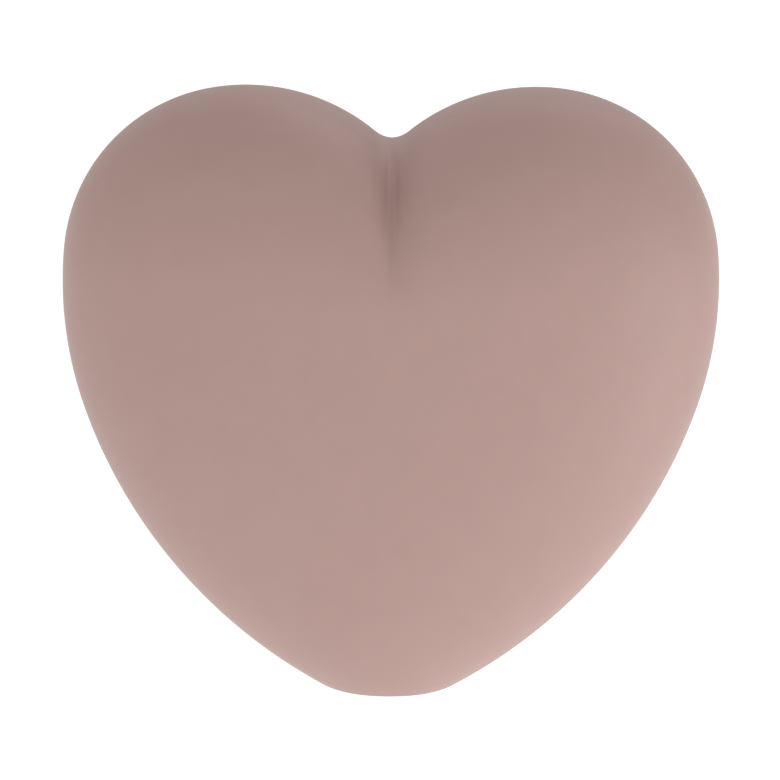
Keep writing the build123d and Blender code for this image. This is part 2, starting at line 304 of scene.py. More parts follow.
def tissue_paper():
    """Dyed tissue, calendered smooth: an even dusty rose with a satin skin. One fibre, about
    0.03 mm wide, is too fine to show, so clumps some forty times as coarse are drawn; they
    cloud the colour and the gloss a little."""
    material, shader = new_material("calendered_tissue_dusty_rose")
    shader.inputs["IOR"].default_value = 1.5
    fibre_clump, dye_cloud = 1.2 * MM, 45.0 * MM
    places = add_node(material, "ShaderNodeTexCoord")
    fibres = add_node(material, "ShaderNodeTexNoise", values={"Scale": 1 / fibre_clump, "Detail": 5.0},
                      links={"Vector": places.outputs["Object"]})
    clouds = add_node(material, "ShaderNodeTexNoise", values={"Scale": 1 / dye_cloud, "Detail": 3.0},
                      links={"Vector": places.outputs["Object"]})
    dye = add_node(material, "ShaderNodeMix", settings={"data_type": "RGBA"},
                   values={6: linear(TISSUE_PALE), 7: linear(TISSUE_DEEP)},
                   links={0: clouds.outputs["Fac"]})
    flecks = add_node(material, "ShaderNodeMapRange", values={1: 0.35, 2: 0.7, 3: 0.0, 4: 0.12},
                      links={0: fibres.outputs["Fac"]})
    add_node(material, "ShaderNodeMix", settings={"data_type": "RGBA"},
             values={7: linear(TISSUE_FLECK)}, links={0: flecks.outputs[0], 6: dye.outputs[2]},
             into={2: shader.inputs["Base Color"]})
    add_node(material, "ShaderNodeMapRange", values={3: 0.44, 4: 0.56},
             links={0: fibres.outputs["Fac"]}, into={0: shader.inputs["Roughness"]})
    add_node(material, "ShaderNodeBump", values={"Strength": 0.12, "Distance": 0.05 * MM},
             links={"Height": fibres.outputs["Fac"]}, into={0: shader.inputs["Normal"]})
    return material


tissue = tissue_paper()
for name, facing in (("front_panel", 1), ("rear_panel", -1)):
    panel = add_object(name + "_paper", panel_mesh(name + "_paper", facing))
    panel.data.materials.append(tissue)
    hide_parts(name)
    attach(panel, "lantern")

# ---- Seam strips and notch patch ----
# Narrow strips of undyed tissue pasted inside the seam, and a patch where they meet under
# the notch. Their CAD shapes are right, so only the paper's look is added here.
def undyed_tissue():
    """Pulp paper left uncoloured: cream, matt, with long fibres that show as faint clouds."""
    material, shader = new_material("undyed_tissue_pasted")
    shader.inputs["Roughness"].default_value = 0.85
    fibre_length = 4.0 * MM
    places = add_node(material, "ShaderNodeTexCoord")
    clouds = add_node(material, "ShaderNodeTexNoise", values={"Scale": 1 / fibre_length, "Detail": 6.0},
                      links={"Vector": places.outputs["Object"]})
    add_node(material, "ShaderNodeMix", settings={"data_type": "RGBA"},
             values={6: linear("#D9C9BA"), 7: linear("#E8DDD0")}, links={0: clouds.outputs["Fac"]},
             into={2: shader.inputs["Base Color"]})
    add_node(material, "ShaderNodeBump", values={"Strength": 0.4, "Distance": 0.1 * MM},
             links={"Height": clouds.outputs["Fac"]}, into={0: shader.inputs["Normal"]})
    return material


strip_tissue = undyed_tissue()
for name in ("left_seam_strip", "right_seam_strip", "notch_patch"):
    for slot in bpy.data.objects[name].material_slots:
        slot.material = strip_tissue

# ---- Mouth hem ----
# A strip of the envelope's tissue folded round the hoop and pasted: a foot that the lantern
# stands on, a low leg outside the hoop and a taller one inside. It is pierced where the
# wires and lashings go round the bamboo, and its hand-cut edges wander a little.
HEM_WINDOW = 5.0 * MM
HEM_STEP = math.radians(0.75)
# The hem's section is in millimetres: in from the panels' edge, and up. A leg is given by
# its face and its top: the outer leg's face towards the panels, and the inner leg's face
# towards the middle of the mouth.
HEM_EDGE = 0.2
HEM_RIM = 1.05
HEM_PAPER = 0.8
HEM_OUTER_LEG = (1.2, 5.0)
HEM_INNER_LEG = (5.2, 8.0)
HEM_FOLD = 0.25
HEM_SOFT_CORNER = 0.1
HEM_CUT_CORNER = 0.15
OUTER_CUT_WANDER = 0.25
INNER_CUT_WANDER = 0.3
LEG_BUCKLE = 0.08
LEG_RIPPLE = 0.05
SCARF_ANGLE = math.radians(225)
LASHING_SPREAD = 13.0 * MM
WIRE_PLACES = [math.radians(a) for a in (0, 90, 180, 270)]
LASHING_PLACES = [SCARF_ANGLE + way * LASHING_SPREAD / MOUTH_HALF_WIDTH for way in (-1, 1)]


def mouth_point(angle, inset, height):
    """Place on the edge of the paper at the mouth, moved in and up; all in metres."""
    x = MOUTH_HALF_WIDTH * math.cos(angle)
    reach, deep, fullness = (float(v) for v in slice_sizes(np.array(x), np.array(False), 0.0))
    y = deep * max(1 - (middle / reach) ** fullness, 0) ** (1 / fullness)
    y = math.copysign(y, math.sin(angle))
    keep = 1 - inset / math.hypot(x, y)
    return Vector((x * keep, y * keep, height))


def swept_mesh(name, runs):
    """Mesh through runs of rings; a run is (rings, closed), and an open run has flat ends."""
    mesh = bmesh.new()
    for rings, closed in runs:
        loops = [[mesh.verts.new(p) for p in ring] for ring in rings]
        pairs = list(zip(loops, loops[1:] + loops[:1])) if closed else list(zip(loops, loops[1:]))
        for one, two in pairs:
            for k in range(len(one)):
                mesh.faces.new((one[k - 1], one[k], two[k], two[k - 1]))
        if not closed:
            mesh.faces.new(loops[0])
            mesh.faces.new(loops[-1][::-1])
    bmesh.ops.recalc_face_normals(mesh, faces=mesh.faces[:])
    data = bpy.data.meshes.new(name)
    mesh.to_mesh(data)
    mesh.free()
    data.shade_smooth()
    return data


def hem_profile(angle, pierced):
    """The folded strip's section at an angle. The waves are whole numbers of turns, so that
    the edges meet where the strip closes."""
    low, paper, fold, soft, cut = HEM_EDGE, HEM_PAPER, HEM_FOLD, HEM_SOFT_CORNER, HEM_CUT_CORNER
    if pierced:
        return [(low, 0), (HEM_RIM, 0), (HEM_RIM, paper), (low, paper)]
    out_side, out_top = HEM_OUTER_LEG
    in_side, in_top = HEM_INNER_LEG
    out_top += OUTER_CUT_WANDER * math.sin(9 * angle) * math.sin(23 * angle + 1)
    in_top += INNER_CUT_WANDER * (math.sin(7 * angle + 2) * math.sin(19 * angle) - 1)
    wander = LEG_BUCKLE * math.sin(31 * angle) + LEG_RIPPLE * math.sin(67 * angle + 1)
    return [
        (low, soft), (low + soft, 0), (in_side - fold, 0), (in_side, fold),
        (in_side + wander, in_top - fold), (in_side - cut + wander, in_top),
        (in_side - paper + cut + wander, in_top), (in_side - paper + wander, in_top - fold),
        (in_side - paper, paper + soft), (in_side - paper - soft, paper),
        (out_side + paper + soft, paper), (out_side + paper, paper + soft),
        (out_side + paper + wander, out_top - fold), (out_side + paper - cut + wander, out_top),
        (out_side + cut + wander, out_top), (out_side + wander, out_top - fold),
        (out_side, paper + soft), (out_side - soft, paper), (low + soft, paper), (low, paper - soft),
    ]


def hem_runs():
    """The hem from window to window: only its outer rim passes a window."""
    places = WIRE_PLACES + LASHING_PLACES
    turns = sorted((a, HEM_WINDOW / 2 / mouth_point(a, 0, 0).length) for a in places)
    first_again = (turns[0][0] + 2 * math.pi, turns[0][1])
    spans = []
    for (here, half), (after, next_half) in zip(turns, turns[1:] + [first_again]):
        spans.append((here - half, here + half, True))
        spans.append((here + half, after - next_half, False))
    runs = []
    for start, end, pierced in spans:
        count = max(int((end - start) / HEM_STEP), 2)
        rings = []
        for k in range(count + 1):
            angle = start + (end - start) * k / count
            rings.append([mouth_point(angle, i * MM, h * MM) for i, h in hem_profile(angle, pierced)])
        runs.append((rings, False))
    return runs


hem = add_object("mouth_hem_paper", swept_mesh("mouth_hem_paper", hem_runs()))
hem.data.materials.append(tissue)
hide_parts("mouth_hem")
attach(hem, "lantern")

# ---- Bamboo hoop ----
# A strip split from a bamboo culm, shaved to 2 by 6 mm and bent into a ring. Its ends are
# cut on a slant and lie on each other, and a low knuckle shows where each node was.
HOOP_INSET = 2.2 * MM
HOOP_THICKNESS = 2.0 * MM
HOOP_HEIGHT = 6.0 * MM
HOOP_LIFT = 1.2 * MM
SCARF_LENGTH = 16.0 * MM
SCARF_GAP = 0.3 * MM
KNUCKLES = (math.radians(75), math.radians(330))
KNUCKLE_RISE = 0.12 * MM
KNUCKLE_WIDTH = 4.0 * MM
HOOP_CORNER = 0.35 * MM
THIN_END_CORNER = 0.3
HOOP_STEPS = 480


def split_bamboo():
    """Dry culm wood: straw yellow, fine dark bundles running along it, a low natural sheen."""
    material, shader = new_material("split_bamboo_shaved")
    bundle_width, bundle_length = 0.5 * MM, 60.0 * MM
    places = add_node(material, "ShaderNodeTexCoord")
    axes = add_node(material, "ShaderNodeSeparateXYZ", links={0: places.outputs["Object"]})
    turn_round = add_node(material, "ShaderNodeMath", settings={"operation": "ARCTAN2"},
                          links={0: axes.outputs["Y"], 1: axes.outputs["X"]})
    along = add_node(material, "ShaderNodeMath", settings={"operation": "MULTIPLY"},
                     values={1: MOUTH_HALF_WIDTH / bundle_length}, links={0: turn_round.outputs[0]})
    level_plane = add_node(material, "ShaderNodeCombineXYZ",
                           links={0: axes.outputs["X"], 1: axes.outputs["Y"]})
    out = add_node(material, "ShaderNodeVectorMath", settings={"operation": "LENGTH"},
                   links={0: level_plane.outputs[0]})
    deep = add_node(material, "ShaderNodeMath", settings={"operation": "DIVIDE"},
                    values={1: bundle_width}, links={0: out.outputs["Value"]})
    high = add_node(material, "ShaderNodeMath", settings={"operation": "DIVIDE"},
                    values={1: bundle_width}, links={0: axes.outputs["Z"]})
    grain = add_node(material, "ShaderNodeCombineXYZ",
                     links={0: along.outputs[0], 1: deep.outputs[0], 2: high.outputs[0]})
    bundles = add_node(material, "ShaderNodeTexNoise", values={"Scale": 1.0, "Detail": 4.0},
                       links={"Vector": grain.outputs[0]})
    spread = add_node(material, "ShaderNodeMapRange", values={1: 0.35, 2: 0.65},
                      links={0: bundles.outputs["Fac"]})
    add_node(material, "ShaderNodeMix", settings={"data_type": "RGBA"},
             values={6: linear("#B48C4E"), 7: linear("#E0C48C")}, links={0: spread.outputs[0]},
             into={2: shader.inputs["Base Color"]})
    add_node(material, "ShaderNodeMapRange", values={3: 0.6, 4: 0.4},
             links={0: bundles.outputs["Fac"]}, into={0: shader.inputs["Roughness"]})
    add_node(material, "ShaderNodeBump", values={"Strength": 0.5, "Distance": 0.1 * MM},
             links={"Height": bundles.outputs["Fac"]}, into={0: shader.inputs["Normal"]})
    return material


def hoop_runs():
    """One strip whose first end thins from its outer face and last end from its inner face."""
    radius = mouth_point(SCARF_ANGLE, 0, 0).length
    half_scarf = SCARF_LENGTH / 2 / radius
    start, end = SCARF_ANGLE - half_scarf, SCARF_ANGLE + 2 * math.pi + half_scarf
    rings = []
    for k in range(HOOP_STEPS + 1):
        angle = start + (end - start) * k / HOOP_STEPS
        first = min((angle - start) / (2 * half_scarf), 1)
        last = min((end - angle) / (2 * half_scarf), 1)
        outer = HOOP_INSET + (1 - first) * (HOOP_THICKNESS - SCARF_GAP)
        inner = HOOP_INSET + HOOP_THICKNESS - (1 - last) * (HOOP_THICKNESS - SCARF_GAP)
        bulge = sum(
            KNUCKLE_RISE * math.exp(-(((angle - a) % (2 * math.pi)) * radius / KNUCKLE_WIDTH) ** 2)
            for a in KNUCKLES)
        outer, inner = outer - bulge, inner + bulge
        c = min(HOOP_CORNER, (inner - outer) * THIN_END_CORNER)
        low, high = HOOP_LIFT, HOOP_LIFT + HOOP_HEIGHT
        section = [(outer + c, low), (inner - c, low), (inner, low + c), (inner, high - c),
                   (inner - c, high), (outer + c, high), (outer, high - c), (outer, low + c)]
        rings.append([mouth_point(angle, i, h) for i, h in section])
    return [(rings, False)]


hoop = add_object("bamboo_hoop_strip", swept_mesh("bamboo_hoop_strip", hoop_runs()))
bamboo = split_bamboo()
hoop.data.materials.append(bamboo)
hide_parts("bamboo_hoop")
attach(hoop, "lantern")

# ---- Hoop lashings ----
# Bleached cotton thread wound tightly round the hoop where its two ends lie on each other,
# five turns at each end of the slanted joint.
THREAD_DIAMETER = 0.6 * MM
THREAD_TURNS = 5
FINE_SIDES = 8
WINDING_GAP = 0.1 * MM
POINTS_PER_TURN = 40
COIL_SQUARENESS = 6
RIM_STEP = 0.01


def tube_rings(points, radius, sides=10, radii=None):
    """Rings of a round rod along a line of points, turned no more than the line turns."""
    rings = []
    side = (points[1] - points[0]).orthogonal().normalized()
    for k, point in enumerate(points):
        before, after = points[max(k - 1, 0)], points[min(k + 1, len(points) - 1)]
        heading = (after - before).normalized()
        side = (side - heading * side.dot(heading)).normalized()
        up = heading.cross(side)
        r = radii[k] if radii else radius
        turns = [2 * math.pi * t / sides for t in range(sides)]
        rings.append([point + r * (side * math.cos(t) + up * math.sin(t)) for t in turns])
    return rings


def coil(centre, out, along, wide, tall, pitch, turns, first):
    """Points of a helix round a nearly rectangular section, which starts at the angle first."""
    points = []
    for k in range(int(turns * POINTS_PER_TURN) + 1):
        turned = k / POINTS_PER_TURN
        a = first + 2 * math.pi * turned
        c, s = math.cos(a), math.sin(a)
        spread = (abs(c) ** COIL_SQUARENESS + abs(s) ** COIL_SQUARENESS) ** (-1 / COIL_SQUARENESS)
        slide = (turned - turns / 2) * pitch
        upwards = Vector((0, 0, tall * s * spread))
        points.append(centre + out * (wide * c * spread) + upwards + along * slide)
    return points


def winding(angle, diameter, turns, first):
    """Points of a wire or thread wound round the hoop's section at a place on the mouth."""
    rim = mouth_point(angle + RIM_STEP, 0, 0) - mouth_point(angle - RIM_STEP, 0, 0)
    along = rim.normalized()
    out = along.cross(Vector((0, 0, 1)))
    centre = mouth_point(angle, HOOP_INSET + HOOP_THICKNESS / 2, HOOP_LIFT + HOOP_HEIGHT / 2)
    wide = HOOP_THICKNESS / 2 + WINDING_GAP + diameter / 2
    tall = HOOP_HEIGHT / 2 + WINDING_GAP + diameter / 2
    return coil(centre, out, along, wide, tall, diameter + WINDING_GAP, turns, first)


def cotton():
    """Bleached cotton thread: off-white, matt, soft edges to its shadows from loose fibres."""
    material, shader = new_material("cotton_thread_twisted")
    shader.inputs["Roughness"].default_value = 0.9
    shader.inputs["Sheen Weight"].default_value = 0.3
    fibre_width = 0.3 * MM
    places = add_node(material, "ShaderNodeTexCoord")
    fibres = add_node(material, "ShaderNodeTexNoise", values={"Scale": 1 / fibre_width, "Detail": 3.0},
                      links={"Vector": places.outputs["Object"]})
    add_node(material, "ShaderNodeMix", settings={"data_type": "RGBA"},
             values={6: linear("#D8CFBE"), 7: linear("#F2ECDF")}, links={0: fibres.outputs["Fac"]},
             into={2: shader.inputs["Base Color"]})
    add_node(material, "ShaderNodeBump", values={"Strength": 0.5, "Distance": 0.08 * MM},
             links={"Height": fibres.outputs["Fac"]}, into={0: shader.inputs["Normal"]})
    return material


cotton_thread = cotton()
lashing_runs = []
for place in LASHING_PLACES:
    thread_path = winding(place, THREAD_DIAMETER, THREAD_TURNS, math.pi)
    lashing_runs.append((tube_rings(thread_path, THREAD_DIAMETER / 2, FINE_SIDES), False))
lashings = add_object("hoop_lashing_thread", swept_mesh("hoop_lashing_thread", lashing_runs))
lashings.data.materials.append(cotton_thread)
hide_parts("hoop_lashings")
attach(lashings, "lantern")

# ---- Cross wires ----
# Two lengths of galvanised iron wire, cut by hand: each runs straight over the mouth, hooks
# on to the bamboo and is wound round it at both ends. One lies on the other in the middle.
WIRE_DIAMETER = 1.0 * MM
WIRE_TURNS = 2.25
LOWER_WIRE_HEIGHT = 4.2 * MM
UPPER_WIRE_HEIGHT = 5.3 * MM
RUN_POINTS = 40
RUN_REACH = 0.975
WIRE_SWAY = 0.25 * MM
WIRE_BENDS = 5
WIRE_SAG = 0.12 * MM
CORNER_ROUNDS = 2


def galvanised_wire():
    """Soft iron wire dipped in zinc: a dull grey metal with paler and darker patches."""
    material, shader = new_material("galvanised_iron_wire")
    shader.inputs["Metallic"].default_value = 1.0
    zinc_patch = 3.0 * MM
    places = add_node(material, "ShaderNodeTexCoord")
    zinc = add_node(material, "ShaderNodeTexNoise", values={"Scale": 1 / zinc_patch, "Detail": 3.0},
                    links={"Vector": places.outputs["Object"]})
    add_node(material, "ShaderNodeMix", settings={"data_type": "RGBA"},
             values={6: linear("#8B8D90"), 7: linear("#C3C5C6")}, links={0: zinc.outputs["Fac"]},
             into={2: shader.inputs["Base Color"]})
    add_node(material, "ShaderNodeMapRange", values={3: 0.3, 4: 0.55},
             links={0: zinc.outputs["Fac"]}, into={0: shader.inputs["Roughness"]})
    return material


def eased(points, rounds):
    """The same line with its corners cut off, as wire bent over pliers."""
    for _ in range(rounds):
        cut = [points[0]]
        for one, two in zip(points, points[1:]):
            cut += [one.lerp(two, 0.25), one.lerp(two, 0.75)]
        points = cut + [points[-1]]
    return points


def cross_wire(name, first, second, height):
    """One wire: wound on at the first place, straight over the mouth, wound on at the second."""
    start = winding(first, WIRE_DIAMETER, WIRE_TURNS, math.pi / 2)
    end = winding(second, WIRE_DIAMETER, WIRE_TURNS, math.pi / 2)[::-1]
    level = Vector((0, 0, height))
    a, b = start[-1] * RUN_REACH, end[0] * RUN_REACH
    a, b = Vector((a.x, a.y, 0)) + level, Vector((b.x, b.y, 0)) + level
    sideways = (b - a).normalized().cross(Vector((0, 0, 1)))
    run = []
    for k in range(RUN_POINTS + 1):
        share = k / RUN_POINTS
        sway = WIRE_SWAY * math.sin(math.pi * share) * math.sin(WIRE_BENDS * math.pi * share)
        sag = WIRE_SAG * math.sin(2 * math.pi * share) ** 2
        run.append(a.lerp(b, share) + sideways * sway - Vector((0, 0, sag)))
    path = eased(start + run + end, CORNER_ROUNDS)
    wire = add_object(name, swept_mesh(name, [(tube_rings(path, WIRE_DIAMETER / 2), False)]))
    wire.data.materials.append(iron)
    return wire


iron = galvanised_wire()
for node, first, second, height in (
    ("left_right_wire", WIRE_PLACES[2], WIRE_PLACES[0], LOWER_WIRE_HEIGHT),
    ("front_rear_wire", WIRE_PLACES[3], WIRE_PLACES[1], UPPER_WIRE_HEIGHT),
):
    wire = cross_wire(node + "_wound", first, second, height)
    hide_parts(node)
    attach(wire, "lantern")

# ---- Centre binding ----
# A finer wire wound three times round the crossing on the slant, and its two ends twisted
# together into a short pigtail that stands out between the cross wires.
BINDING_DIAMETER = 0.5 * MM
BINDING_TURNS = 3
BINDING_MIDDLE = (LOWER_WIRE_HEIGHT + UPPER_WIRE_HEIGHT) / 2
BINDING_HALF_WIDTH = 1.857 * MM
BINDING_HALF_HEIGHT = 1.4 * MM
PIGTAIL_LENGTH = 5.0 * MM
PIGTAIL_TWISTS = 4
PIGTAIL_STEPS = 12 * PIGTAIL_TWISTS
diagonal = Vector((1, 1, 0)).normalized()
across_diagonal = Vector((1, -1, 0)).normalized()


def pigtail_strand(start, phase):
    """One of two wires twisted round each other, outwards from start."""
    points = []
    for k in range(PIGTAIL_STEPS + 1):
        share = k / PIGTAIL_STEPS
        a = 2 * math.pi * PIGTAIL_TWISTS * share + phase
        off = diagonal * math.cos(a) + Vector((0, 0, math.sin(a)))
        along = across_diagonal * (PIGTAIL_LENGTH * share)
        points.append(start + along + off * (BINDING_DIAMETER / 2))
    return points


binding_centre = Vector((0, 0, BINDING_MIDDLE))
binding_path = coil(
    binding_centre, across_diagonal, diagonal, BINDING_HALF_WIDTH, BINDING_HALF_HEIGHT,
    BINDING_DIAMETER + WINDING_GAP, BINDING_TURNS, 0.0)
pigtail_start = binding_centre + across_diagonal * (BINDING_HALF_WIDTH + BINDING_DIAMETER / 2)
strands = [pigtail_strand(pigtail_start, phase) for phase in (0.0, math.pi)]
binding_runs = [
    (tube_rings(path, BINDING_DIAMETER / 2, FINE_SIDES), False) for path in [binding_path] + strands]
binding = add_object("centre_binding_wire", swept_mesh("centre_binding_wire", binding_runs))
binding.data.materials.append(iron)
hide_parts("centre_binding")
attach(binding, "lantern")

# ---- Cell hairpin and its two tails ----
# One more piece of the same wire, bent under the crossing and pushed up through the fuel
# cell. Its two tails are bent over by hand to hold the cell, so each is a piece of its own
# that turns about the top of its leg; they were cut with pliers, which left blunt wedges.
HAIRPIN_HALF_WIDTH = 2.6 * MM
HAIRPIN_BOTTOM = 2.5 * MM
HAIRPIN_TOP = 19.35 * MM
HAIRPIN_BEND_STEPS = 8
HAIRPIN_BEND = 1.2 * MM
PIVOT_HEIGHT = 20.0 * MM
TAIL_LENGTH = 26.0 * MM
TAIL_WAVE = 0.18 * MM
TAIL_BENDS = 9
TAIL_STEPS = 24
TAIL_SIDES = 12
ROOT_STEPS = 6
ROOT_CLOSED = 0.95
WEDGE_LENGTH = 0.45
WEDGE_WIDTH = 0.7
WEDGE_PINCH = 0.5
hairpin_path = [-diagonal * HAIRPIN_HALF_WIDTH + Vector((0, 0, HAIRPIN_TOP))]
for side in (-1, 1):
    for k in range(HAIRPIN_BEND_STEPS + 1):
        a = math.pi / 2 * k / HAIRPIN_BEND_STEPS
        a = a if side < 0 else math.pi / 2 - a
        out = HAIRPIN_HALF_WIDTH - HAIRPIN_BEND * (1 - math.cos(a))
        up = HAIRPIN_BOTTOM + HAIRPIN_BEND * (1 - math.sin(a))
        hairpin_path.append(diagonal * (side * out) + Vector((0, 0, up)))
hairpin_path.append(diagonal * HAIRPIN_HALF_WIDTH + Vector((0, 0, HAIRPIN_TOP)))
hairpin = add_object("cell_hairpin_wire", swept_mesh(
    "cell_hairpin_wire", [(tube_rings(hairpin_path, WIRE_DIAMETER / 2), False)]))
hairpin.data.materials.append(iron)
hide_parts("cell_hairpin")
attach(hairpin, "lantern")


def tail_mesh(name, side):
    """A wire with a round root at its pivot and a wedge at its cut end."""
    foot = diagonal * (side * HAIRPIN_HALF_WIDTH) + Vector((0, 0, PIVOT_HEIGHT))
    radius = WIRE_DIAMETER / 2
    heights, radii = [], []
    for k in range(ROOT_STEPS + 1):
        a = math.pi / 2 * (k / ROOT_STEPS - ROOT_CLOSED)
        heights.append(radius * math.sin(min(a, 0)))
        radii.append(radius * math.cos(min(a, 0)))
    for k in range(1, TAIL_STEPS + 1):
        heights.append(TAIL_LENGTH * k / TAIL_STEPS)
        radii.append(radius)
    points = []
    for h in heights:
        wave = math.sin(TAIL_BENDS * h / TAIL_LENGTH + side)
        bow = TAIL_WAVE * math.sin(math.pi * max(h, 0) / TAIL_LENGTH) * wave
        points.append(foot + across_diagonal * bow + Vector((0, 0, h)))
    rings = tube_rings(points, radius, TAIL_SIDES, radii)
    cut_end = [p + Vector((0, 0, WIRE_DIAMETER * WEDGE_LENGTH)) for p in rings[-1]]
    middle = sum(cut_end, Vector()) / len(cut_end)
    wedge = []
    for p in cut_end:
        pinch = across_diagonal * (p - middle).dot(across_diagonal) * WEDGE_PINCH
        wedge.append(middle + (p - middle) * WEDGE_WIDTH - pinch)
    rings.append(wedge)
    return swept_mesh(name, [(rings, False)])


for node, side in (("left_tail", -1), ("right_tail", 1)):
    tail = add_object(node + "_wire", tail_mesh(node + "_wire", side))
    tail.data.materials.append(iron)
    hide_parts(node)
    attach(tail, node)

# ---- Fuel pad ----
# Six squares of pressed cotton-fibre board, laid on each other and soaked in paraffin wax.
# Wax has run over the edges of the layers, which don't line up exactly, and a hole through
# the middle clears the wire binding.
CELL_SIDE = 62.0 * MM
CELL_CORNER = 4.0 * MM
CELL_HOLE = 9.0 * MM
CELL_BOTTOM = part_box("fuel_pad")[0][2]
CELL_THICKNESS = 12.0 * MM
CELL_LAYERS = 6
LAYER_SLIP = 0.35 * MM
LAYER_TURN = 2.1
LAYER_EDGE = 0.45 * MM
EDGE_SLOPE = 0.3
EDGE_RIPPLE = 0.05 * MM
HOLE_WANDER = 0.1 * MM
WAX_DIP = 0.25 * MM
WAX_WAVE = 5.0 * MM
PAD_POINTS = 240
PAD_RINGS = (0.0, 0.15, 0.4, 0.7, 0.92)


def square_reach(angle, half_side, corner):
    """How far a square with rounded corners reaches at an angle."""
    c, s = abs(math.cos(angle)), abs(math.sin(angle))
    reach = half_side / max(c, s)
    core = half_side - corner
    if min(c, s) * reach <= core:
        return reach
    along = core * (c + s)
    return along + math.sqrt(max(along**2 - 2 * core**2 + corner**2, 0))


def pad_runs():
    """The pad's layers, each a ring of sections from the hole to the edge and back."""
    runs = []
    thickness = CELL_THICKNESS / CELL_LAYERS
    for layer in range(CELL_LAYERS):
        low = CELL_BOTTOM + layer * thickness
        high = CELL_BOTTOM + (layer + 1) * thickness
        dip_depth = WAX_DIP if layer == CELL_LAYERS - 1 else 0
        rings = []
        for k in range(PAD_POINTS):
            angle = 2 * math.pi * k / PAD_POINTS
            way = Vector((math.cos(angle), math.sin(angle), 0))
            slip = LAYER_SLIP * (0.5 + 0.5 * math.sin(angle + LAYER_TURN * layer))
            slip += EDGE_RIPPLE * (1 + math.sin(17 * angle + layer))
            outer = square_reach(angle, CELL_SIDE / 2, CELL_CORNER) - slip
            hole = CELL_HOLE / 2 + HOLE_WANDER * (1 + math.sin(3 * angle + layer))
            flat = outer - LAYER_EDGE
            shoulder = outer - LAYER_EDGE * EDGE_SLOPE
            flat_rings = [hole + (flat - hole) * share for share in PAD_RINGS]
            section = []
            for r in flat_rings:
                wave = math.sin(r / WAX_WAVE + 3 * angle) * math.cos(2 * angle + layer)
                section.append((r, high - dip_depth * (0.5 + 0.5 * wave)))
            section += [
                (flat, high), (shoulder, high - LAYER_EDGE * EDGE_SLOPE), (outer, high - LAYER_EDGE),
                (outer, low + LAYER_EDGE), (shoulder, low + LAYER_EDGE * EDGE_SLOPE), (flat, low),
            ]
            section += [(r, low) for r in flat_rings[::-1]]
            rings.append([way * r + Vector((0, 0, h)) for r, h in section])
        runs.append((rings, True))
    return runs


def waxed_fibre():
    """Cotton-fibre board full of paraffin: creamy, a little see-through, with a greasy gloss."""
    material, shader = new_material("paraffin_soaked_fibre_board")
    shader.inputs["IOR"].default_value = 1.44
    shader.inputs["Subsurface Weight"].default_value = 0.25
    shader.inputs["Subsurface Radius"].default_value = (2.0 * MM, 1.4 * MM, 0.9 * MM)
    shader.inputs["Subsurface Scale"].default_value = 1.0
    fibre_width, wax_patch = 0.5 * MM, 9.0 * MM
    places = add_node(material, "ShaderNodeTexCoord")
    fibres = add_node(material, "ShaderNodeTexNoise", values={"Scale": 1 / fibre_width, "Detail": 5.0},
                      links={"Vector": places.outputs["Object"]})
    wax = add_node(material, "ShaderNodeTexNoise", values={"Scale": 1 / wax_patch, "Detail": 3.0},
                   links={"Vector": places.outputs["Object"]})
    board = add_node(material, "ShaderNodeMix", settings={"data_type": "RGBA"},
                     values={6: linear("#CDBE9C"), 7: linear("#E7DCC2")}, links={0: fibres.outputs["Fac"]})
    soaked = add_node(material, "ShaderNodeMapRange", values={1: 0.42, 2: 0.6},
                      links={0: wax.outputs["Fac"]})
    add_node(material, "ShaderNodeMix", settings={"data_type": "RGBA"},
             values={7: linear("#EFE9D8")}, links={0: soaked.outputs[0], 6: board.outputs[2]},
             into={2: shader.inputs["Base Color"]})
    add_node(material, "ShaderNodeMapRange", values={3: 0.55, 4: 0.28},
             links={0: soaked.outputs[0]}, into={0: shader.inputs["Roughness"]})
    add_node(material, "ShaderNodeBump", values={"Strength": 0.45, "Distance": 0.15 * MM},
             links={"Height": fibres.outputs["Fac"]}, into={0: shader.inputs["Normal"]})
    return material


pad = add_object("fuel_pad_layers", swept_mesh("fuel_pad_layers", pad_runs()))
pad.data.materials.append(waxed_fibre())
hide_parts("fuel_pad")
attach(pad, "fuel_cell")

# ---- Cotton tie ----
# Two loops of two-ply cotton twine round the pad hold its layers together. Each is closed
# with an overhand knot on top, and its two ends lie on the wax.
TIE_DIAMETER = 0.8 * MM
TIE_OFFSET = 16.0 * MM
TIE_TWISTS = 96
TIE_POINTS = 960
PLY_SIDES = 7
PLY_CROWDING = 1.05
KNOT_PLACE = 9.0 * MM
KNOT_SIZE = 0.42 * MM
KNOT_POINTS = 90
KNOT_RADIUS = 0.42 * TIE_DIAMETER
KNOT_LIFT = 0.45 * TIE_DIAMETER
END_LENGTH = 9.0 * MM
END_STEPS = 15
END_BENDS = ((1, 0.7), (-1, 1.3))
END_CURL = 0.8
END_TURN = 0.6
END_DROP = 0.62 * TIE_DIAMETER
END_FALL = 3
END_FRAY = 0.55 * TIE_DIAMETER
tie_half_width = CELL_SIDE / 2 + WINDING_GAP + TIE_DIAMETER / 2
tie_half_height = CELL_THICKNESS / 2 + WINDING_GAP + TIE_DIAMETER / 2
tie_height = CELL_BOTTOM + CELL_THICKNESS / 2


